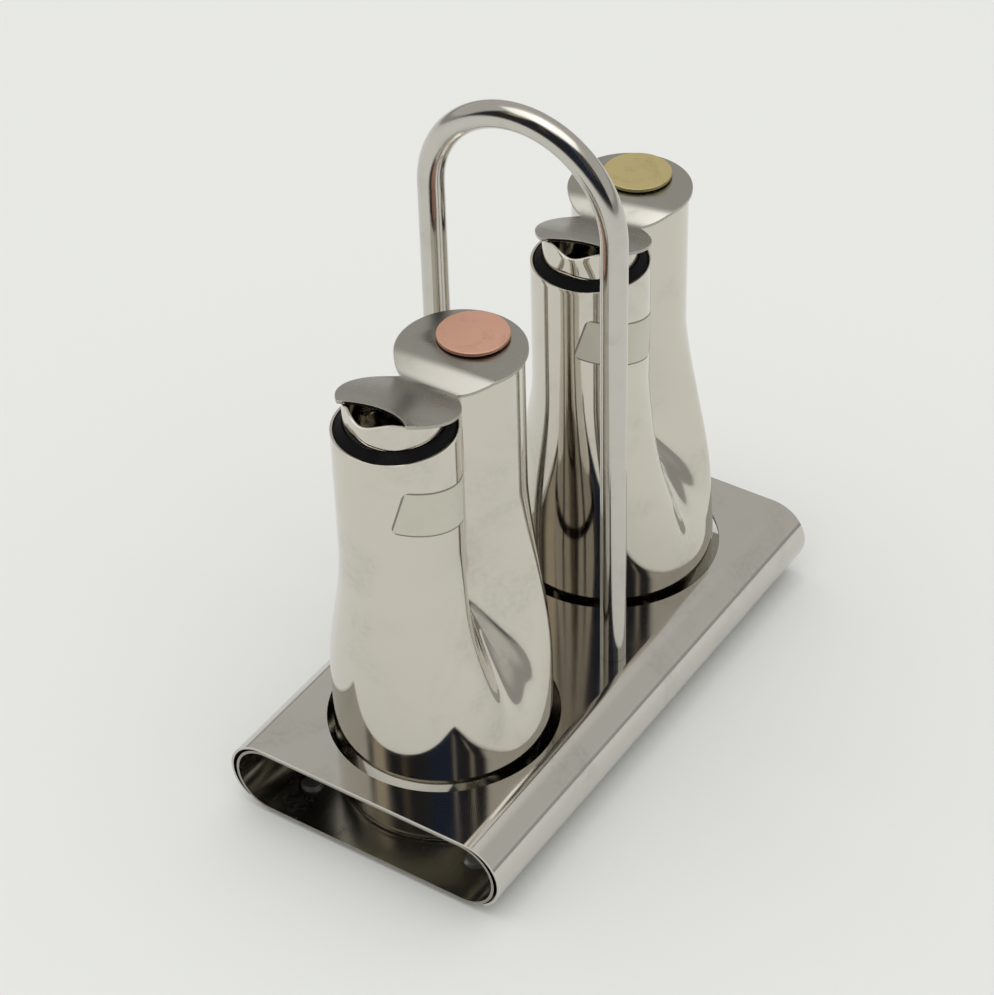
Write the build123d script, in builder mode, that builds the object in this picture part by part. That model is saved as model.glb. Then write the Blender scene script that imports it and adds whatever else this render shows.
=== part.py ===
# Oil and vinegar set: two polished steel cruets standing in the round holes of
# a flattened tube tray that is carried by a hoop handle.
# Frame: X along the tray, -X is the end the spouts face, +Z up, Z = 0 is the
# table and the origin is under the middle of the tray.
import os
from math import cos, radians, sin, sqrt, tan

from build123d import *

os.makedirs("parts", exist_ok=True)

# ---- driving dimensions, in millimetres ----
# tray: a closed flattened tube inside a cover that wraps its top and sides
tray_length = 184.0
tray_width = 97.0
tray_height = 24.0
cover_sheet = 0.8
tube_sheet = 0.8
side_gap = 1.2  # air between cover and tube at the widest point of the rounds
cover_wrap = 148.0  # degrees of each round that the cover follows from the top
hole_radius = 35.5
hole_margin = 8.5  # sheet left between each hole and the tray's open end
edge_break = 0.25
overcut = 1.0  # how far a cut runs past the sheet it goes through

# feet and their rivets
foot_radius = 5.0
foot_height = 1.6
foot_edge = 0.5
foot_end_inset = 15.0
foot_side_inset = 18.5
rivet_radius = 1.6
rivet_head_radius = 3.6
rivet_head_height = 1.2
rivet_head_taper = 30.0
rivet_fit = 0.05

# hoop handle and its fixing
rod_radius = 4.0
leg_inset = 18.0  # axis of each leg from the side of the tray
handle_height = 186.0  # top of the tray to the top of the hoop
thread_radius = 2.0
thread_fit = 0.05
thread_depth = 14.0
screw_length = 12.0
screw_head_radius = 3.5
screw_head_height = 2.4
socket_across = 2.5
socket_depth = 1.3
washer_radius = 4.3
washer_thickness = 1.0
washer_fit = 0.15
sheet_hole_fit = 0.2

# cruet: two tubes that melt into one round foot
cruet_sheet = 0.8
foot_wall_radius = 33.2
tube_radius = 17.8
tube_offset = 16.8  # each tube axis from the axis of the foot
rim_height = 142.2  # front rim above the pan
foot_wall_height = 44.0
tube_start_height = 102.0
blend_steps = 8
base_plate = 1.6
base_step = 1.0
base_fit = 0.3
turn_near = 1.0  # degrees that each cruet is turned in its hole
turn_far = 11.0

# lid plate: level over the rear tube, dipped at the waist, rising to the front
lid_sheet = 1.0
lid_rise = 4.0  # underside of its level part above the front rim
lid_rear_radius = 18.9
lid_front_radius = 17.1
lid_front_setback = 2.4
lid_slope = 18.0
lid_dip_at = 2.0
lid_dip_rise = 1.0
lid_level_from = 9.0
lid_bend_rear = 10.0
lid_bend_dip = 9.0
mouth_setback = 5.5
mouth_radius = 15.0
lid_seat = 0.05

# pouring cup and its black collar
cup_radius = 14.2
cup_wall = 0.7
cup_depth = 12.0
cup_floor = 0.8
cup_drain_radius = 3.0
cup_drain_at = 8.8
cup_seat = 0.05
lip_dip = 2.8
lip_radius = 12.0
collar_fit = 0.06
collar_top = 0.3
collar_height = 7.0
collar_crown = 2.3  # how far it slopes up to the cup
collar_land = 0.3  # level ring left beside the cup

# stopper
cap_radius = 10.5
cap_thickness = 1.0
cap_edge = 0.3
cap_behind = 6.4  # axis of the stopper behind the axis of the rear tube
flange_radius = 9.6
flange_thickness = 0.6
plug_radius = 7.6
plug_fit = 0.08
plug_length = 11.0
plug_tip = 1.2
peg_radius = 2.2
peg_length = 3.0
peg_fit = 0.05

# ---- derived places ----
tray_bottom = foot_height
tray_top = tray_bottom + tray_height
pan_top = tray_bottom + tube_sheet
round_radius = tray_height / 2
tube_height = tray_height - cover_sheet
tube_width = tray_width - 2 * (cover_sheet + side_gap)
under_top = tray_top - cover_sheet - tube_sheet
half_flat = tray_width / 2 - round_radius
half_pitch = tray_width / 2 - leg_inset  # legs from the middle of the tray
hole_pitch = tray_length - 2 * (hole_radius + hole_margin)
arc_centre = tray_top + handle_height - rod_radius - half_pitch
foot_x = tray_length / 2 - foot_end_inset
foot_y = tray_width / 2 - foot_side_inset
rim = rim_height
lid_level = rim + lid_rise
front_axis = -tube_offset
rear_axis = tube_offset
stopper_x = rear_axis + cap_behind
cruet_reach = 2 * (tube_offset + tube_radius)  # clears the whole cruet from its axis


def save(builder, name):
    """Label one finished piece and write it as its own STEP file."""
    builder.part.label = name
    export_step(builder.part, f"parts/{name}.step")


# ---- tray ----
cross_plane = Plane(origin=(0, 0, 0), x_dir=(0, 1, 0), z_dir=(1, 0, 0))
hole_spots = [(-hole_pitch / 2, 0), (hole_pitch / 2, 0)]
leg_spots = [(0, -half_pitch), (0, half_pitch)]

with BuildPart() as tray_tube:
    with BuildSketch(cross_plane):
        with Locations((0, tray_bottom + tube_height / 2)):
            SlotOverall(tube_width, tube_height)
            SlotOverall(tube_width - 2 * tube_sheet, tube_height - 2 * tube_sheet, mode=Mode.SUBTRACT)
    extrude(amount=tray_length / 2, both=True)
    with BuildSketch(Plane.XY.offset(under_top - overcut)):
        with Locations(*hole_spots):
            Circle(hole_radius)
        with Locations(*leg_spots):
            Circle(thread_radius + sheet_hole_fit)
    extrude(amount=tube_sheet + 2 * overcut, mode=Mode.SUBTRACT)
    with BuildSketch(Plane.XY.offset(tray_bottom - overcut)):
        with GridLocations(2 * foot_x, 2 * foot_y, 2, 2):
            Circle(rivet_radius + rivet_fit)
    extrude(amount=tube_sheet + 2 * overcut, mode=Mode.SUBTRACT)
save(tray_tube, "tray_tube")

# the cover: one sheet over the top that follows both rounds
round_z = tray_bottom + round_radius
inner_round = round_radius - cover_sheet
wrap_end = radians(90 - cover_wrap)
wrap_mid = radians(90 - cover_wrap / 2)


def on_round(side, radius, angle):
    """A point of one side's round; angle 90 degrees is its top."""
    return (side * (half_flat + radius * cos(angle)), round_z + radius * sin(angle))


with BuildPart() as tray_cover:
    with BuildSketch(cross_plane):
        with BuildLine():
            for radius in (round_radius, inner_round):
                for side in (-1, 1):
                    top_point = (side * half_flat, round_z + radius)
                    mid_point = on_round(side, radius, wrap_mid)
                    ThreePointArc(top_point, mid_point, on_round(side, radius, wrap_end))
                Line((-half_flat, round_z + radius), (half_flat, round_z + radius))
            for side in (-1, 1):
                Line(on_round(side, round_radius, wrap_end), on_round(side, inner_round, wrap_end))
        make_face()
    extrude(amount=tray_length / 2, both=True)
    with BuildSketch(Plane.XY.offset(tray_top - cover_sheet - overcut)):
        with Locations(*hole_spots):
            Circle(hole_radius)
        with Locations(*leg_spots):
            Circle(thread_radius + sheet_hole_fit)
    extrude(amount=cover_sheet + 2 * overcut, mode=Mode.SUBTRACT)
save(tray_cover, "tray_cover")

# ---- feet ----
with BuildPart() as feet:
    with BuildSketch():
        with GridLocations(2 * foot_x, 2 * foot_y, 2, 2):
            Circle(foot_radius)
    extrude(amount=foot_height)
    chamfer(feet.edges().group_by(Axis.Z)[0], foot_edge)
    with BuildSketch():
        with GridLocations(2 * foot_x, 2 * foot_y, 2, 2):
            Circle(rivet_radius + rivet_fit)
    extrude(amount=foot_height, mode=Mode.SUBTRACT)
save(feet, "feet")

with BuildPart() as foot_rivets:
    with BuildSketch(Plane.XY.offset(foot_edge)):
        with GridLocations(2 * foot_x, 2 * foot_y, 2, 2):
            Circle(rivet_radius)
    extrude(amount=pan_top - foot_edge)
    with BuildSketch(Plane.XY.offset(pan_top)):
        with GridLocations(2 * foot_x, 2 * foot_y, 2, 2):
            Circle(rivet_head_radius)
    extrude(amount=rivet_head_height, taper=rivet_head_taper)
save(foot_rivets, "foot_rivets")

# ---- hoop handle ----
with BuildPart() as handle_hoop:
    with BuildLine(cross_plane):
        Line((-half_pitch, tray_top), (-half_pitch, arc_centre))
        ThreePointArc((-half_pitch, arc_centre), (0, arc_centre + half_pitch), (half_pitch, arc_centre))
        Line((half_pitch, arc_centre), (half_pitch, tray_top))
    with BuildSketch(Plane.XY.offset(tray_top)):
        with Locations((0, -half_pitch)):
            Circle(rod_radius)
    sweep()
    chamfer(handle_hoop.edges().group_by(Axis.Z)[0], edge_break)
    with BuildSketch(Plane.XY.offset(tray_top)):
        with Locations(*leg_spots):
            Circle(thread_radius + thread_fit)
    extrude(amount=thread_depth, mode=Mode.SUBTRACT)
save(handle_hoop, "handle_hoop")

washer_top = under_top
head_top = washer_top - washer_thickness

with BuildPart() as handle_washers:
    with BuildSketch(Plane.XY.offset(head_top)):
        with Locations(*leg_spots):
            Circle(washer_radius)
            Circle(thread_radius + washer_fit, mode=Mode.SUBTRACT)
    extrude(amount=washer_thickness)
save(handle_washers, "handle_washers")

with BuildPart() as handle_screws:
    with BuildSketch(Plane.XY.offset(head_top)):
        with Locations(*leg_spots):
            Circle(thread_radius)
    extrude(amount=screw_length)
    with BuildSketch(Plane.XY.offset(head_top - screw_head_height)):
        with Locations(*leg_spots):
            Circle(screw_head_radius)
    extrude(amount=screw_head_height)
    with BuildSketch(Plane.XY.offset(head_top - screw_head_height)):
        with Locations(*leg_spots):
            RegularPolygon(socket_across / sqrt(3), 6)
    extrude(amount=socket_depth, mode=Mode.SUBTRACT)
save(handle_screws, "handle_screws")


# ---- cruets ----
def body_size(height):
    """Radius of the two lobes and their offset from the middle at a height."""
    run = (height - foot_wall_height) / (tube_start_height - foot_wall_height)
    share = run * run * (3 - 2 * run)
    radius = foot_wall_radius + (tube_radius - foot_wall_radius) * share
    return radius, tube_offset * share


def lobe_form(frame, side, wall, bottom, top):
    """One lobe, kept on its own side of the waist: foot, lean and tube."""
    with BuildPart() as lobe:
        with BuildSketch(frame.offset(bottom)):
            Circle(foot_wall_radius - wall)
        extrude(amount=foot_wall_height - bottom)
        for step in range(blend_steps + 1):
            height = foot_wall_height + (tube_start_height - foot_wall_height) * step / blend_steps
            radius, offset_x = body_size(height)
            with BuildSketch(frame.offset(height)):
                with Locations((side * offset_x, 0)):
                    Circle(radius - wall)
        loft()
        with BuildSketch(frame.offset(tube_start_height)):
            with Locations((side * tube_offset, 0)):
                Circle(tube_radius - wall)
        extrude(amount=top - tube_start_height)
        split(bisect_by=Plane(origin=frame.origin, x_dir=frame.y_dir, z_dir=side * frame.x_dir))
    return lobe.part


def body_form(frame, wall, bottom, top):
    """Both lobes joined at the waist, drawn in by a wall thickness."""
    lobes = [lobe_form(frame, side, wall, bottom, top) for side in (-1, 1)]
    with BuildPart() as form:
        add(lobes)
    return form.part


def side_plane(frame):
    """The upright plane through both tube axes of a cruet."""
    return Plane(origin=frame.origin, x_dir=frame.x_dir, z_dir=-frame.y_dir)


def lid_line(drop):
    """Corner points of the lid's underside, lowered by a distance."""
    dip = rim + lid_dip_rise - drop
    tip = dip + (cruet_reach + lid_dip_at) * tan(radians(lid_slope))
    return [(cruet_reach, lid_level - drop), (lid_level_from, lid_level - drop), (lid_dip_at, dip),
            (-cruet_reach, tip)]


def lid_edge(drop):
    """The lid's underside seen from the side, with both of its bends."""
    points = lid_line(drop)
    return FilletPolyline(*points, radius=[lid_bend_rear, lid_bend_dip])


def make_body(frame, name):
    """The hollow steel body, trimmed to the front rim and to the lid."""
    outside = body_form(frame, 0, base_plate, lid_level)
    inside = body_form(frame, cruet_sheet, base_plate - overcut, lid_level + overcut)
    with BuildPart() as body:
        add(outside)
        add(inside, mode=Mode.SUBTRACT)
        with BuildSketch(side_plane(frame)):
            with Locations((-cruet_reach / 2, rim + cruet_reach / 2)):
                Rectangle(cruet_reach, cruet_reach)
            with BuildLine():
                lid_edge(lid_seat)
                tip = lid_line(lid_seat)[-1]
                above = rim + cruet_reach
                Polyline(tip, (-cruet_reach, above), (cruet_reach, above), (cruet_reach, lid_level - lid_seat))
            make_face()
        extrude(amount=cruet_reach, both=True, mode=Mode.SUBTRACT)
    save(body, name)


def make_base(frame, name):
    """The round plate that closes the body; its step centres the wall."""
    with BuildPart() as base:
        with BuildSketch(frame):
            Circle(foot_wall_radius)
        extrude(amount=base_plate)
        fillet(base.edges().group_by(Axis.Z)[0], base_plate / 2)
        with BuildSketch(frame.offset(base_plate)):
            Circle(foot_wall_radius - cruet_sheet - base_fit)
        extrude(amount=base_step)
    save(base, name)


def make_lid(frame, name):
    """The bent plate: its side view swept across, cut to its plan."""
    front_centre = front_axis + lid_front_setback
    mouth_centre = front_axis - mouth_setback - mouth_radius
    with BuildPart() as lid:
        with BuildSketch(side_plane(frame)):
            with BuildLine():
                lid_edge(0)
                offset(amount=lid_sheet, side=Side.RIGHT)
            make_face()
        extrude(amount=foot_wall_radius, both=True)
        with BuildSketch(frame.offset(rim)):
            with Locations((rear_axis, 0)):
                Circle(lid_rear_radius)
            with Locations((front_centre, 0)):
                Circle(lid_front_radius)
            with Locations((mouth_centre, 0)):
                Circle(mouth_radius, mode=Mode.SUBTRACT)
            with Locations((stopper_x, 0)):
                Circle(plug_radius + plug_fit, mode=Mode.SUBTRACT)
        extrude(amount=foot_wall_radius, mode=Mode.INTERSECT)
    save(lid, name)


def make_cup(frame, name):
    """The pouring cup: open top trimmed to the lid, with a dipped lip."""
    cup_bottom = rim - cup_depth
    top = rim + foot_wall_radius
    with BuildPart() as cup:
        with BuildSketch(frame.offset(cup_bottom)):
            with Locations((front_axis, 0)):
                Circle(cup_radius)
        extrude(amount=top - cup_bottom)
        with BuildSketch(frame.offset(cup_bottom + cup_floor)):
            with Locations((front_axis, 0)):
                Circle(cup_radius - cup_wall)
        extrude(amount=top - cup_bottom, mode=Mode.SUBTRACT)
        with BuildSketch(frame.offset(cup_bottom)):
            with Locations((front_axis - cup_drain_at, 0)):
                Circle(cup_drain_radius)
        extrude(amount=cup_floor, mode=Mode.SUBTRACT)
        with BuildSketch(side_plane(frame)):
            with BuildLine():
                lid_edge(cup_seat)
                tip = lid_line(cup_seat)[-1]
                Polyline(tip, (-cruet_reach, top), (cruet_reach, top), (cruet_reach, lid_level - cup_seat))
            make_face()
        extrude(amount=cruet_reach, both=True, mode=Mode.SUBTRACT)
        lip_x = front_axis - cup_radius
        lip_z = rim + lid_dip_rise + (lid_dip_at - lip_x) * tan(radians(lid_slope))
        lip_plane = Plane(origin=frame.from_local_coords((lip_x, 0, lip_z)),
                          x_dir=frame.y_dir, z_dir=frame.x_dir)
        with BuildSketch(lip_plane):
            with Locations((0, lip_radius - lip_dip)):
                Circle(lip_radius)
        extrude(amount=cup_radius, both=True, mode=Mode.SUBTRACT)
    save(cup, name)


def make_collar(frame, name):
    """The black ring that holds the cup in the front tube and slopes up to it."""
    outer_radius = tube_radius - cruet_sheet - collar_fit
    inner_radius = cup_radius + collar_fit
    with BuildPart() as collar:
        with BuildSketch(frame.offset(rim - collar_top - collar_height)):
            with Locations((front_axis, 0)):
                Circle(outer_radius)
                Circle(inner_radius, mode=Mode.SUBTRACT)
        extrude(amount=collar_height + collar_crown)
        outer_edge = collar.edges().group_by(Axis.Z)[-1].sort_by(SortBy.RADIUS)[-1]
        chamfer(outer_edge, collar_crown, outer_radius - inner_radius - collar_land)
    save(collar, name)


def make_stopper(frame, plug_name, cap_name):
    """The rubber stopper and the coloured metal cap pegged into it."""
    seat = lid_level + lid_sheet
    with BuildPart() as plug:
        with BuildSketch(frame.offset(seat - plug_length)):
            with Locations((stopper_x, 0)):
                Circle(plug_radius)
        extrude(amount=plug_length)
        chamfer(plug.edges().group_by(Axis.Z)[0], plug_tip)
        with BuildSketch(frame.offset(seat)):
            with Locations((stopper_x, 0)):
                Circle(flange_radius)
        extrude(amount=flange_thickness)
        with BuildSketch(frame.offset(seat + flange_thickness - peg_length)):
            with Locations((stopper_x, 0)):
                Circle(peg_radius + peg_fit)
        extrude(amount=peg_length, mode=Mode.SUBTRACT)
    save(plug, plug_name)

    with BuildPart() as cap:
        with BuildSketch(frame.offset(seat + flange_thickness)):
            with Locations((stopper_x, 0)):
                Circle(cap_radius)
        extrude(amount=cap_thickness)
        fillet(cap.edges().group_by(Axis.Z)[-1], cap_edge)
        with BuildSketch(frame.offset(seat + flange_thickness - peg_length + peg_fit)):
            with Locations((stopper_x, 0)):
                Circle(peg_radius)
        extrude(amount=peg_length - peg_fit)
    save(cap, cap_name)


for side, hole_x, turn, cap_metal in (
    ("near", -hole_pitch / 2, turn_near, "copper"),
    ("far", hole_pitch / 2, turn_far, "brass"),
):
    heading = radians(turn)
    cruet_frame = Plane(origin=(hole_x, 0, pan_top), x_dir=(cos(heading), sin(heading), 0), z_dir=(0, 0, 1))
    make_base(cruet_frame, f"{side}_cruet_base")
    make_body(cruet_frame, f"{side}_cruet_body")
    make_lid(cruet_frame, f"{side}_lid_plate")
    make_cup(cruet_frame, f"{side}_pouring_cup")
    make_collar(cruet_frame, f"{side}_cup_collar")
    make_stopper(cruet_frame, f"{side}_stopper_plug", f"{side}_{cap_metal}_cap")
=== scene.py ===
# The oil and vinegar set in polished steel: looks, light and camera around the
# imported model.  Metres, the model's own frame: X along the tray, -X is the end
# that the spouts face, +Z is up and the table is at Z = 0.
from math import atan2, cos, exp, pi, radians, sin, sqrt

import bpy
from mathutils import Matrix, Vector


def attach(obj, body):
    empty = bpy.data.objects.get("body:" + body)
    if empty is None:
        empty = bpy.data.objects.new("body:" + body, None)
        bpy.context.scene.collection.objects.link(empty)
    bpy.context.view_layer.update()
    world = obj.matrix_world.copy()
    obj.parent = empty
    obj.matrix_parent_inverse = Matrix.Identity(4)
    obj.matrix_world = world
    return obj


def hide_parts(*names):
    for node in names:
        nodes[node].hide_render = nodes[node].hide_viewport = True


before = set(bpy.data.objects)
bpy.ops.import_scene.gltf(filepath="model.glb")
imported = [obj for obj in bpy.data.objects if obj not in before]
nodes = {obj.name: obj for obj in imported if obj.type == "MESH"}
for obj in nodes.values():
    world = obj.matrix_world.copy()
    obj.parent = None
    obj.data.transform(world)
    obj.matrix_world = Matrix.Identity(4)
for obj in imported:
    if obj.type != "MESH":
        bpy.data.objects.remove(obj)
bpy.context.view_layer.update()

MM = 0.001
SIDES = ("near", "far")

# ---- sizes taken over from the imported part: millimetres, heights from the pan ----
HOLE_X = {"near": -48.0, "far": 48.0}
TURN = {"near": 1.0, "far": 11.0}  # degrees that each cruet is turned
PAN_TOP = 2.4  # height of the pan above the table
BASE_PLATE = 1.6  # the shell starts on top of this plate
FOOT_RADIUS = 33.2
TUBE_RADIUS = 17.8
TUBE_OFFSET = 16.8  # from the foot's axis to the axis of each tube
WALL = 0.8
FOOT_HEIGHT = 44.0  # the outline is a plain circle up to here
TUBE_START = 102.0  # and two plain tubes from here up
RIM = 142.2  # top of the front tube
LID_LEVEL = 146.2  # underside of the lid over the rear tube
LID_DIP = 143.6  # and at the bend
LID_SLOPE = 0.325  # rise of its front leaf
LID_SHEET = 1.0
LID_CIRCLES = ((16.8, 18.9), (-14.4, 17.1))  # centre and radius of the rear disc and the front leaf
MOUTH_CIRCLE = (-37.3, 15.0)  # centre and radius of the bite that leaves the spout open
STOPPER = (23.2, 7.68)  # place and radius of its hole in the lid
CUP_RADIUS = 14.2
CUP_WALL = 0.7
CUP_DEPTH = 12.0
DRAIN = (-25.6, 3.0)  # place and radius of the hole in the cup's floor

# ---- shapes that only this model has, in millimetres ----
GROOVE_FOOT = 28.0  # the pinched groove runs out here, near the foot
GROOVE_FULL = 84.0  # and is as deep as the two tubes leave it from here up
GROOVE_WIDTH = (0.36, 0.52)  # its half width low down and high up, as a share of the radius
SHELL_POINTS = 192
SHELL_RINGS = 118
RIM_ROUND = 0.15
LID_BEND = (-1.0, 9.0)  # between these places along the cruet the lid steps up
LID_SOFTNESS = 2.0  # how softly the front leaf starts to rise
LID_POINTS = 320
LID_ROUND = 0.22
LID_CUTS = (-16, -10, -7, -5, -4, -3, -2.5) + tuple(-2 + 0.5 * step for step in range(22))
CUP_POINTS = 144
CUP_RINGS = 16
LIP_LEAN = (1.5, 0.30)  # how far the lip leans out, and its half width in radians
LIP_PINCH = (0.55, 0.62, 0.20)  # how far the rim is pinched in, how far beside the lip, half width
LIP_DIP = (1.7, 0.36)  # how far the rim dips at the lip, and its half width
CLEARANCE = 0.05  # left between the shell and the lid
CUP_CLEARANCE = 0.08  # left between the cup and the lid
LABEL_START = {"near": -149.0, "far": -172.0}  # degrees about the front tube
LABEL_MIDDLE = 121.5
LABEL_LONG = 30.0
LABEL_HIGH = 14.5
LABEL_LEAN = -17.0  # it is stuck on aslant, its right end lower
LABEL_CORNER = 2.2
LABEL_CUTS = (30, 15)  # strips along it and across it, so that it can bend
PAPER = 0.08
SMOOTH_ANGLE = 35  # degrees; sharper edges stay crisp

# ---- camera place, fitted to the photograph's edges ----
AZIMUTH = -55.613
ELEVATION = 38.908
ROLL = -1.756
DISTANCE = 0.84593
AIM_Z = 0.060
STEP_RIGHT = -0.00915
STEP_UP = 0.01176
FOCAL_PIXELS = 2764.4
PICTURE_WIDTH = 994
SENSOR_WIDTH = 36

# ---- floor and lamps, in metres and watts ----
FLOOR_SIZE = 6
FLOOR_Z = -0.2 * MM
LAMPS = (("window_lamp", (-0.2, 0.5, 1.9)), ("ceiling_lamp", (0.1, -0.35, 1.9)))
LAMP_SIZE = 1.3
LAMP_WATTS = 4.0


# ---- small helpers for node trees ----
def add_node(tree, kind, **settings):
    """A new node in a tree, with its plain settings."""
    node = tree.nodes.new(kind)
    for name, value in settings.items():
        setattr(node, name, value)
    return node


def plug(tree, socket, value):
    """Gives an input socket a number, a vector or the output of a node."""
    if isinstance(value, bpy.types.NodeSocket):
        tree.links.new(value, socket)
    else:
        socket.default_value = value


def maths(tree, operation, *values, clamp=False):
    """One Math node on numbers or sockets; returns its output."""
    node = add_node(tree, "ShaderNodeMath", operation=operation, use_clamp=clamp)
    for socket, value in zip(node.inputs, values):
        plug(tree, socket, value)
    return node.outputs[0]


def vector_maths(tree, operation, first, second, output=0):
    """One Vector Math node; returns the chosen output."""
    node = add_node(tree, "ShaderNodeVectorMath", operation=operation)
    plug(tree, node.inputs[0], first)
    plug(tree, node.inputs[1], second)
    return node.outputs[output]


def remap(tree, value, low, high, to_low=0.0, to_high=1.0):
    """A soft step of a value between two levels."""
    node = add_node(tree, "ShaderNodeMapRange", interpolation_type="SMOOTHSTEP")
    for socket, number in zip(node.inputs, (value, low, high, to_low, to_high)):
        plug(tree, socket, number)
    return node.outputs[0]


def noise(tree, place, scale, detail=2.0, distortion=0.0):
    """Noise between 0 and 1 at a place."""
    node = add_node(tree, "ShaderNodeTexNoise")
    plug(tree, node.inputs["Vector"], place)
    plug(tree, node.inputs["Scale"], scale)
    plug(tree, node.inputs["Detail"], detail)
    plug(tree, node.inputs["Distortion"], distortion)
    return node.outputs["Fac"]


def mix_colour(tree, share, first, second):
    """Two colours mixed by a share."""
    node = add_node(tree, "ShaderNodeMix", data_type="RGBA")
    plug(tree, node.inputs["Factor"], share)
    plug(tree, node.inputs[6], first)
    plug(tree, node.inputs[7], second)
    return node.outputs[2]


def split_vector(tree, vector):
    """The three numbers of a vector."""
    node = add_node(tree, "ShaderNodeSeparateXYZ")
    plug(tree, node.inputs[0], vector)
    return node.outputs


def object_place(tree):
    """The place on a piece, in the piece's own coordinates."""
    return add_node(tree, "ShaderNodeTexCoord").outputs["Object"]


def add_bump(tree, shader, strength, distance, height):
    """Small bumps on a finish, from a height between 0 and 1; the distance is in millimetres."""
    bump = add_node(tree, "ShaderNodeBump")
    bump.inputs["Strength"].default_value = strength
    bump.inputs["Distance"].default_value = distance * MM
    plug(tree, bump.inputs["Height"], height)
    plug(tree, shader.inputs["Normal"], bump.outputs[0])


def new_material(name):
    """A new material, its node tree and its shader."""
    material = bpy.data.materials.new(name)
    material.use_nodes = True
    return material, material.node_tree, material.node_tree.nodes["Principled BSDF"]


def new_group(name, inputs, outputs):
    """An empty node group with its named sockets."""
    group = bpy.data.node_groups.new(name, "ShaderNodeTree")
    for socket_name, kind, value in inputs:
        socket = group.interface.new_socket(socket_name, in_out="INPUT", socket_type=kind)
        socket.default_value = value
    for socket_name in outputs:
        group.interface.new_socket(socket_name, in_out="OUTPUT", socket_type="NodeSocketFloat")
    return group, add_node(group, "NodeGroupInput").outputs, add_node(group, "NodeGroupOutput").inputs


def use_group(tree, group, **values):
    """A node that runs one of the shared groups."""
    node = add_node(tree, "ShaderNodeGroup", node_tree=group)
    for name, value in values.items():
        plug(tree, node.inputs[name], value)
    return node.outputs


# ---- effects that several finishes share ----
def make_grain_group():
    """Fine drawn lines: noise that is stretched along the piece."""
    group, given, out = new_group("drawn_grain", [("Stretch", "NodeSocketVector", (900, 900, 40))], ["Lines"])
    stretched = vector_maths(group, "MULTIPLY", object_place(group), given["Stretch"])
    plug(group, out["Lines"], noise(group, stretched, 1.0, 3.0))
    return group


def make_marks_group():
    """Cloudy wipe and finger marks, with a fine speckle inside them."""
    group, given, out = new_group("hand_marks", [("Size", "NodeSocketFloat", 38.0)], ["Marks", "Speckle"])
    place = object_place(group)
    cloud = remap(group, noise(group, place, given["Size"], 2.0, 1.2), 0.46, 0.72)
    fine_size = maths(group, "MULTIPLY", given["Size"], 14.0)
    fine = remap(group, noise(group, place, fine_size, 3.0), 0.35, 0.75)
    marks = maths(group, "MULTIPLY", cloud, maths(group, "ADD", fine, 0.35), clamp=True)
    plug(group, out["Marks"], marks)
    plug(group, out["Speckle"], fine)
    return group


def make_wear_and_highlight_group():
    """Where a piece has an edge: there the metal is worn bright, and painted brighter still as an edge
    highlight.
    """
    group, given, out = new_group("edge_wear_and_highlight", [("Reach", "NodeSocketFloat", 0.4 * MM)], ["Wear"])
    rounded = add_node(group, "ShaderNodeBevel", samples=6)
    plug(group, rounded.inputs["Radius"], given["Reach"])
    flat = add_node(group, "ShaderNodeNewGeometry").outputs["Normal"]
    alike = vector_maths(group, "DOT_PRODUCT", rounded.outputs[0], flat, 1)
    broken = remap(group, noise(group, object_place(group), 420.0), 0.25, 0.6, 0.45, 1.0)
    edge = remap(group, alike, 0.995, 0.86)
    plug(group, out["Wear"], maths(group, "MULTIPLY", edge, broken))
    return group


grain_group = make_grain_group()
marks_group = make_marks_group()
wear_and_highlight_group = make_wear_and_highlight_group()


# ---- finishes ----
def make_metal(name, colour, roughness, stretch, grain, marks, mark_size=38.0, dull=0.9, bright=1.25,
               edge_reach=0.35):
    """A metal with drawn grain, hand marks, and edges worn bright with a painted edge highlight."""
    material, tree, shader = new_material(name)
    lines = use_group(tree, grain_group, Stretch=stretch)["Lines"]
    hands = use_group(tree, marks_group, Size=mark_size)
    wear_and_highlight = use_group(tree, wear_and_highlight_group, Reach=edge_reach * MM)["Wear"]
    plain = (*colour, 1)
    dulled = (*(part * dull for part in colour), 1)
    # At edges the colour is brighter: partly worn metal, partly a painted edge highlight.
    rubbed_and_highlit = (*(min(part * bright, 0.95) for part in colour), 1)
    handled = mix_colour(tree, hands["Marks"], plain, dulled)
    plug(tree, shader.inputs["Base Color"], mix_colour(tree, wear_and_highlight, handled, rubbed_and_highlit))
    shader.inputs["Metallic"].default_value = 1
    rough = maths(tree, "MULTIPLY_ADD", hands["Marks"], marks, roughness)
    rough_lines = maths(tree, "MULTIPLY_ADD", lines, grain * 2, rough)
    plug(tree, shader.inputs["Roughness"], rough_lines)
    add_bump(tree, shader, 0.5, grain * 0.05, lines)
    return material


def make_soft(name, colour, roughness, dust, dust_colour, speckle_height, shine=0.5):
    """A rubber or plastic with dust in its pores and paler edges."""
    material, tree, shader = new_material(name)
    shader.inputs["Specular IOR Level"].default_value = shine
    hands = use_group(tree, marks_group, Size=60.0)
    wear_and_highlight = use_group(tree, wear_and_highlight_group, Reach=0.3 * MM)["Wear"]
    share = maths(tree, "MULTIPLY", maths(tree, "ADD", hands["Marks"], wear_and_highlight, clamp=True), dust)
    plug(tree, shader.inputs["Base Color"], mix_colour(tree, share, (*colour, 1), (*dust_colour, 1)))
    rough = maths(tree, "MULTIPLY_ADD", hands["Speckle"], 0.12, roughness)
    plug(tree, shader.inputs["Roughness"], rough)
    add_bump(tree, shader, 0.4, speckle_height, hands["Speckle"])
    return material


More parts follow.
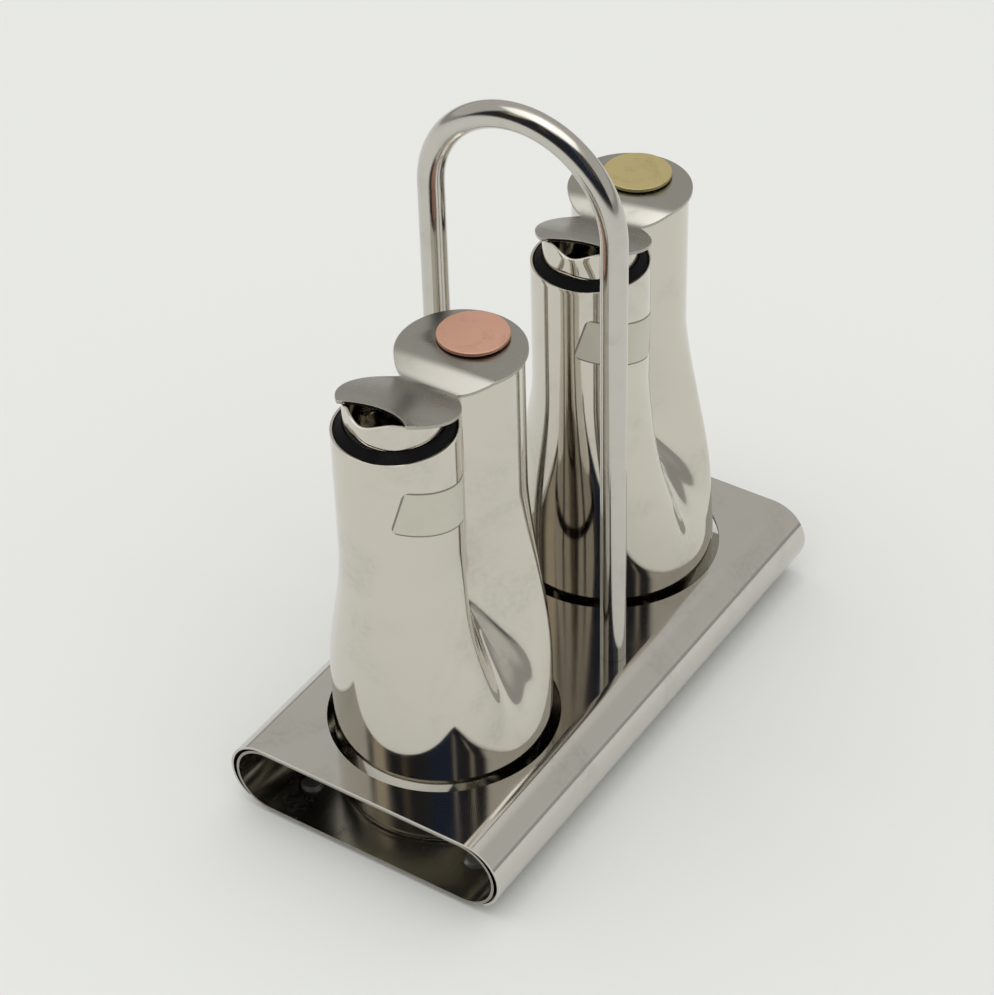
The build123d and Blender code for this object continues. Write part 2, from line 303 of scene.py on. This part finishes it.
def make_paper():
    """Old cream paper with a thin plain border and a slight mottle."""
    material, tree, shader = new_material("blank_paper")
    sheet = split_vector(tree, add_node(tree, "ShaderNodeUVMap").outputs[0])
    along = maths(tree, "ABSOLUTE", maths(tree, "SUBTRACT", sheet[0], 0.5))
    across = maths(tree, "ABSOLUTE", maths(tree, "SUBTRACT", sheet[1], 0.5))
    border = maths(tree, "MAXIMUM", remap(tree, along, 0.478, 0.486), remap(tree, across, 0.462, 0.476))
    hands = use_group(tree, marks_group, Size=120.0)
    cream = mix_colour(tree, hands["Marks"], (0.56, 0.54, 0.45, 1), (0.545, 0.522, 0.435, 1))
    plug(tree, shader.inputs["Base Color"], mix_colour(tree, border, cream, (0.20, 0.18, 0.15, 1)))
    rough = maths(tree, "MULTIPLY_ADD", hands["Speckle"], 0.15, 0.45)
    plug(tree, shader.inputs["Roughness"], rough)
    return material


tray_steel = make_metal("polished_tray", (0.64, 0.62, 0.575), 0.085, (60, 1400, 1400),
                        grain=0.02, marks=0.05)
# The tray's tube: rougher steel whose base colour is darkened as painted shade of the tray's inside, and
# whose edges are painted much brighter as an edge highlight.
tube_steel_painted_shade = make_metal("tube_painted_shade", (0.33, 0.315, 0.27), 0.16, (60, 900, 900),
                        grain=0.05, marks=0.10, bright=2.2)
cruet_steel = make_metal("mirror_cruet", (0.655, 0.62, 0.555), 0.055, (1100, 1100, 60),
                         grain=0.015, marks=0.05)
rod_steel = make_metal("drawn_rod", (0.60, 0.575, 0.53), 0.10, (1500, 900, 900),
                       grain=0.03, marks=0.06, mark_size=70)
# The lid's edges are painted much brighter: an edge highlight, with some worn metal.
lid_steel = make_metal("satin_lid", (0.42, 0.405, 0.365), 0.24, (120, 2600, 2600),
                       grain=0.02, marks=0.06, bright=1.9)
fixing_steel = make_metal("plain_screw", (0.46, 0.46, 0.45), 0.3, (900, 900, 900),
                          grain=0.05, marks=0.1)
copper = make_metal("dull_copper", (0.82, 0.49, 0.365), 0.42, (1200, 300, 900), grain=0.08, marks=0.1,
                    mark_size=90, dull=0.84, bright=1.2, edge_reach=0.6)
brass = make_metal("dull_brass", (0.64, 0.54, 0.27), 0.42, (300, 1200, 900), grain=0.08, marks=0.1,
                   mark_size=90, dull=0.84, edge_reach=0.6)
rubber = make_soft("black_rubber", (0.004, 0.004, 0.0045), 0.6, 0.04, (0.10, 0.095, 0.09), 0.03, shine=0.12)
plastic = make_soft("pale_foot", (0.60, 0.58, 0.54), 0.4, 0.35, (0.35, 0.33, 0.30), 0.04)
paper = make_paper()

finish_of = {
    "tray_tube": tube_steel_painted_shade, "tray_cover": tray_steel, "feet": plastic, "foot_rivets": fixing_steel,
    "handle_hoop": rod_steel, "handle_washers": fixing_steel, "handle_screws": fixing_steel,
    "near_copper_cap": copper, "far_brass_cap": brass,
}
for side in SIDES:
    finish_of[side + "_cruet_base"] = cruet_steel
    finish_of[side + "_cruet_body"] = cruet_steel
    finish_of[side + "_lid_plate"] = lid_steel
    finish_of[side + "_pouring_cup"] = cruet_steel
    finish_of[side + "_cup_collar"] = rubber
    finish_of[side + "_stopper_plug"] = rubber
for name, finish in finish_of.items():
    mesh = nodes[name].data
    mesh.materials.clear()
    mesh.materials.append(finish)


# ---- small helpers for pieces; the piece in hand is the active one ----
def edit_all():
    """Edit mode, with all of the piece selected."""
    bpy.ops.object.mode_set(mode="EDIT")
    bpy.ops.mesh.select_all(action="SELECT")


def end_edit():
    """Back to object mode."""
    bpy.ops.object.mode_set(mode="OBJECT")


def face_outward():
    """Turns the normals outward."""
    edit_all()
    bpy.ops.mesh.normals_make_consistent(inside=False)
    end_edit()


def start_ring(name, count, radius):
    """Starts a piece from a circle of points."""
    bpy.ops.object.select_all(action="DESELECT")
    bpy.ops.mesh.primitive_circle_add(vertices=count, radius=radius * MM, location=(0, 0, 0))
    piece = bpy.context.active_object
    piece.name = name
    return piece


def raise_ring(rings):
    """Draws a circle up by rings a millimetre apart, to be put in place later."""
    edit_all()
    for _ in range(rings):
        bpy.ops.mesh.extrude_region_move(TRANSFORM_OT_translate={"value": (0, 0, MM)})
    bpy.ops.mesh.select_mode(type="VERT")
    bpy.ops.mesh.select_all(action="DESELECT")
    end_edit()


def cut_into_strips(direction, places):
    """Cuts across a direction at each place, so that the piece can bend."""
    bpy.ops.object.mode_set(mode="EDIT")
    for place in places:
        bpy.ops.mesh.select_all(action="SELECT")
        bpy.ops.mesh.bisect(plane_co=Vector(direction) * place * MM, plane_no=direction)
    end_edit()


def add_wall(piece, thickness, even=True):
    """Gives a sheet its thickness, inward from its face."""
    wall = piece.modifiers.new("wall", "SOLIDIFY")
    wall.thickness = thickness * MM
    wall.offset = -1
    wall.use_even_offset = even
    bpy.ops.object.modifier_apply(modifier="wall")


def soften_edges(piece, width, segments, from_angle):
    """A small round on every edge that is sharper than an angle."""
    soft = piece.modifiers.new("soft", "BEVEL")
    soft.width = width * MM
    soft.segments = segments
    soft.limit_method = "ANGLE"
    soft.angle_limit = radians(from_angle)
    bpy.ops.object.modifier_apply(modifier="soft")


def drill(piece, x, radius, z):
    """Cuts a round hole through a piece at a place along the cruet."""
    bpy.ops.mesh.primitive_cylinder_add(vertices=64, radius=radius * MM, depth=8 * MM,
                                        location=(x * MM, 0, z * MM))
    bit = bpy.context.active_object
    bpy.context.view_layer.objects.active = piece
    hole = piece.modifiers.new("hole", "BOOLEAN")
    hole.operation = "DIFFERENCE"
    hole.object = bit
    bpy.ops.object.modifier_apply(modifier="hole")
    bpy.ops.object.select_all(action="DESELECT")
    bit.select_set(True)
    bpy.ops.object.delete()
    piece.select_set(True)
    bpy.context.view_layer.objects.active = piece


def finish_piece(piece, side, finish, replaced=None):
    """Seats a piece that was made about the foot's axis, hands it to its body, and hides the part that it
    replaces.
    """
    seat = Matrix.Translation((HOLE_X[side] * MM, 0, PAN_TOP * MM))
    piece.data.transform(seat @ Matrix.Rotation(radians(TURN[side]), 4, "Z"))
    piece.data.update()
    bpy.ops.object.shade_smooth_by_angle(angle=radians(SMOOTH_ANGLE))
    piece.data.materials.clear()
    piece.data.materials.append(finish)
    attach(piece, side + "_cruet")
    if replaced:
        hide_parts(replaced)


# ---- the lids, cups and shells of the cruets, drawn smooth from the part's own sizes ----
def soft_step(value, low, high):
    """0 below low, 1 above high, with a soft passage between."""
    share = min(max((value - low) / (high - low), 0.0), 1.0)
    return share * share * (3 - 2 * share)


def between(low, high, share):
    """The value at a share of the way from low to high."""
    return low + (high - low) * share


def outline_point(height, angle):
    """A point of the cruet's outline at a height above the pan and an angle."""
    share = soft_step(height, FOOT_HEIGHT, TUBE_START)
    radius = between(FOOT_RADIUS, TUBE_RADIUS, share)
    offset = TUBE_OFFSET * share
    reach = offset * abs(cos(angle)) + sqrt(radius ** 2 - (offset * sin(angle)) ** 2)
    waist = sqrt(radius ** 2 - offset ** 2)
    narrowest = sqrt(TUBE_RADIUS ** 2 - TUBE_OFFSET ** 2)
    groove = soft_step(height, GROOVE_FOOT, GROOVE_FULL)
    pinched = between(FOOT_RADIUS, narrowest, groove)
    reach -= max(waist - pinched, 0) * exp(-(cos(angle) / between(*GROOVE_WIDTH, groove)) ** 4)
    return reach * cos(angle), reach * sin(angle)


def lid_underside(x):
    """Height of the bent lid plate along the cruet."""
    low, high = LID_BEND
    ramp = (sqrt((low - x) ** 2 + LID_SOFTNESS ** 2) + low - x) / 2
    return between(LID_DIP, LID_LEVEL, soft_step(x, low, high)) + LID_SLOPE * ramp


def top_height(x):
    """Where the shell ends: level at the front, along the lid at the rear."""
    return RIM if x < 0 else lid_underside(x) - CLEARANCE


def make_shell(side):
    """One seamless hollow shell: a ring drawn up step by step, then walled."""
    shell = start_ring(side + "_polished_shell", SHELL_POINTS, FOOT_RADIUS)
    raise_ring(SHELL_RINGS)
    for vertex in shell.data.vertices:
        share = round(vertex.co.z / MM) / SHELL_RINGS
        angle = atan2(vertex.co.y, vertex.co.x)
        x, _ = outline_point(between(BASE_PLATE, RIM, share), angle)
        height = between(BASE_PLATE, top_height(x), share)
        x, y = outline_point(height, angle)
        vertex.co = (x * MM, y * MM, height * MM)
    face_outward()
    add_wall(shell, WALL)
    soften_edges(shell, RIM_ROUND, 2, 60)
    finish_piece(shell, side, cruet_steel, side + "_cruet_body")


def reach_of_circle(centre, radius, angle, side):
    """How far out a ray from the middle meets a circle, or None if it misses it."""
    across = radius ** 2 - (centre * sin(angle)) ** 2
    return centre * cos(angle) + side * sqrt(across) if across > 0 else None


def lid_outline(angle):
    """The lid's edge seen from above: two discs that share a waist, less the mouth."""
    reaches = [reach_of_circle(*circle, angle, 1) for circle in LID_CIRCLES]
    reach = max(found for found in reaches if found is not None)
    mouth = reach_of_circle(*MOUTH_CIRCLE, angle, -1)
    if mouth is not None and cos(angle) < 0:
        reach = min(reach, mouth)
    return reach * cos(angle), reach * sin(angle)


def make_lid(side):
    """The bent satin plate with a fine round along its edge."""
    lid = start_ring(side + "_satin_lid", LID_POINTS, TUBE_RADIUS)
    for vertex in lid.data.vertices:
        x, y = lid_outline(atan2(vertex.co.y, vertex.co.x))
        vertex.co = (x * MM, y * MM, 0)
    edit_all()
    bpy.ops.mesh.edge_face_add()
    bpy.ops.mesh.extrude_region_move(TRANSFORM_OT_translate={"value": (0, 0, LID_SHEET * MM)})
    face_outward()
    drill(lid, *STOPPER, 0)
    cut_into_strips((1, 0, 0), LID_CUTS)
    for vertex in lid.data.vertices:
        vertex.co.z += lid_underside(vertex.co.x / MM) * MM
    soften_edges(lid, LID_ROUND, 3, 50)
    finish_piece(lid, side, lid_steel, side + "_lid_plate")


def swell(distance, half_width):
    """1 in the middle and near 0 beyond a few half widths."""
    return exp(-(distance / half_width) ** 2)


def lip_of(angle):
    """How far the cup's rim leans out, and how far it dips, at an angle."""
    off_lip = pi - abs(angle)
    lean, lean_width = LIP_LEAN
    pinch, pinch_place, pinch_width = LIP_PINCH
    dip, dip_width = LIP_DIP
    out = lean * swell(off_lip, lean_width) - pinch * swell(off_lip - pinch_place, pinch_width)
    return out, dip * swell(off_lip, dip_width)


def make_cup(side):
    """The pouring cup with its pinched lip."""
    cup = start_ring(side + "_lipped_cup", CUP_POINTS, CUP_RADIUS)
    raise_ring(CUP_RINGS)
    bottom = RIM - CUP_DEPTH
    for vertex in cup.data.vertices:
        share = round(vertex.co.z / MM) / CUP_RINGS
        angle = atan2(vertex.co.y, vertex.co.x)
        lean, dip = lip_of(angle)
        out = CUP_RADIUS + lean * soft_step(share, 0.45, 1.15)
        top = lid_underside(-TUBE_OFFSET + CUP_RADIUS * cos(angle)) - CUP_CLEARANCE - dip
        x, y, z = -TUBE_OFFSET + out * cos(angle), out * sin(angle), between(bottom, top, share)
        vertex.co = (x * MM, y * MM, z * MM)
        vertex.select = share == 0
    bpy.ops.object.mode_set(mode="EDIT")
    bpy.ops.mesh.edge_face_add()
    face_outward()
    add_wall(cup, CUP_WALL)
    drill(cup, *DRAIN, bottom)
    soften_edges(cup, RIM_ROUND, 2, 60)
    finish_piece(cup, side, cruet_steel, side + "_pouring_cup")


def make_label(side):
    """A thin blank sheet with rounded corners that is wrapped round the front tube."""
    bpy.ops.object.select_all(action="DESELECT")
    bpy.ops.mesh.primitive_plane_add(size=MM, location=(0, 0, 0))
    label = bpy.context.active_object
    label.name = side + "_blank_label"
    edit_all()
    bpy.ops.transform.resize(value=(LABEL_LONG, LABEL_HIGH, 1))
    bpy.ops.mesh.bevel(offset=LABEL_CORNER * MM, segments=6, affect="VERTICES")
    end_edit()
    for direction, length, strips in zip(((1, 0, 0), (0, 1, 0)), (LABEL_LONG, LABEL_HIGH), LABEL_CUTS):
        cut_into_strips(direction, [(cut / strips - 0.5) * length for cut in range(1, strips)])
    lean = radians(LABEL_LEAN)
    out = TUBE_RADIUS + PAPER
    for vertex in label.data.vertices:
        along, across = vertex.co.x / MM, vertex.co.y / MM
        arc = LABEL_LONG / 2 + along * cos(lean) - across * sin(lean)
        angle = radians(LABEL_START[side]) + arc / TUBE_RADIUS
        height = LABEL_MIDDLE + along * sin(lean) + across * cos(lean)
        vertex.co = ((-TUBE_OFFSET + out * cos(angle)) * MM, out * sin(angle) * MM, height * MM)
    face_outward()
    add_wall(label, PAPER, even=False)
    finish_piece(label, side, paper)


for side in SIDES:
    make_lid(side)
    make_cup(side)
for side in SIDES:
    make_shell(side)
for side in SIDES:
    make_label(side)

# ---- floor ----
bpy.ops.object.select_all(action="DESELECT")
bpy.ops.mesh.primitive_plane_add(size=FLOOR_SIZE, location=(0, 0, FLOOR_Z))
floor = bpy.context.active_object
floor.name = "pale_floor"
floor_paint, _, floor_shader = new_material("pale_floor")
floor_shader.inputs["Base Color"].default_value = (0.80, 0.805, 0.785, 1)
floor_shader.inputs["Roughness"].default_value = 0.95
floor.data.materials.append(floor_paint)

# ---- camera ----
azimuth, elevation, roll = radians(AZIMUTH), radians(ELEVATION), radians(ROLL)
back = Vector((sin(azimuth) * cos(elevation), -cos(azimuth) * cos(elevation), sin(elevation)))
level = Vector((cos(azimuth), sin(azimuth), 0))
upward = back.cross(level)
right = cos(roll) * level + sin(roll) * upward
up = cos(roll) * upward - sin(roll) * level
stand = Vector((0, 0, AIM_Z)) + back * DISTANCE + level * STEP_RIGHT + upward * STEP_UP
lens = bpy.data.cameras.new("camera")
lens.sensor_fit = "HORIZONTAL"
lens.sensor_width = SENSOR_WIDTH
lens.lens = FOCAL_PIXELS * SENSOR_WIDTH / PICTURE_WIDTH
lens.clip_start = 0.01
camera = bpy.data.objects.new("camera", lens)
bpy.context.scene.collection.objects.link(camera)
camera.matrix_world = Matrix.Translation(stand) @ Matrix((right, up, back)).transposed().to_4x4()
bpy.context.scene.camera = camera


# ---- room light: pale all round, with the darker things that steel shows ----
def band(tree, value, low, high, soft):
    """1 between two levels and 0 outside them, with soft borders."""
    rise = remap(tree, value, low - soft, low + soft)
    fall = remap(tree, value, high + soft, high - soft)
    return maths(tree, "MULTIPLY", rise, fall)


def grey(value, warmth=0.03):
    """A slightly warm grey of the room."""
    return (value, value * (1 - warmth * 0.5), value * (1 - warmth * 2), 1)


world = bpy.data.worlds.new("studio_room")
bpy.context.scene.world = world
world.use_nodes = True
room = world.node_tree
room.nodes.clear()
ray = add_node(room, "ShaderNodeTexCoord").outputs["Generated"]
rise = maths(room, "MULTIPLY", maths(room, "ARCSINE", split_vector(room, ray)[2]), 180 / pi)
toward_viewer = Vector((back.x, back.y, 0)).normalized()
sideways = vector_maths(room, "DOT_PRODUCT", ray, level, 1)
forward = vector_maths(room, "DOT_PRODUCT", ray, toward_viewer, 1)
turn = maths(room, "MULTIPLY", maths(room, "ARCTAN2", sideways, forward), 180 / pi)

# each row: from and to in degrees of turn, from and to in degrees of rise, soft border, colour
ROOM_THINGS = (
    (-180, 180, -4, 9, 4, grey(0.34)),  # the far edge of the floor
    (-180, 180, 9, 52, 6, grey(0.54)),  # the walls
    (-88, -58, 2, 46, 4, (0.020, 0.019, 0.018, 1)),  # a dark thing at the left
    (-62, 44, 1, 58, 4, (0.014, 0.015, 0.019, 1)),  # the dark behind the viewer
    (-16, 14, 14, 60, 5, (0.010, 0.018, 0.045, 1)),  # its blue middle
    (-80, -66, 36, 62, 3, (0.46, 0.41, 0.32, 1)),  # a warm pale patch
    (9, 11, 24, 60, 1.5, (0.34, 0.30, 0.25, 1)),  # and three narrow strips
    (27, 30, 24, 60, 2, (0.36, 0.33, 0.28, 1)),
    (-46, -40, 30, 60, 3, (0.09, 0.07, 0.05, 1)),
)
room_colour = mix_colour(room, remap(room, rise, 52, 72), grey(0.74), grey(0.98, 0.01))
for turn_from, turn_to, rise_from, rise_to, soft, shade in ROOM_THINGS:
    share = band(room, rise, rise_from, rise_to, soft)
    if turn_to - turn_from < 360:
        share = maths(room, "MULTIPLY", share, band(room, turn, turn_from, turn_to, soft))
    room_colour = mix_colour(room, share, room_colour, shade)
paths = add_node(room, "ShaderNodeLightPath")
seen = mix_colour(room, paths.outputs["Is Glossy Ray"], (0.84, 0.845, 0.83, 1), room_colour)
background = add_node(room, "ShaderNodeBackground")
plug(room, background.inputs["Color"], seen)
plug(room, add_node(room, "ShaderNodeOutputWorld").inputs[0], background.outputs[0])


# ---- soft square lamps that point at the table's middle ----
for name, place in LAMPS:
    light = bpy.data.lights.new(name, "AREA")
    light.shape = "SQUARE"
    light.size = LAMP_SIZE
    light.energy = LAMP_WATTS
    lamp = bpy.data.objects.new(name, light)
    bpy.context.scene.collection.objects.link(lamp)
    lamp.location = place
    lamp.rotation_euler = (-Vector(place)).to_track_quat("-Z", "Y").to_euler()

bpy.context.scene.view_settings.view_transform = "Standard"
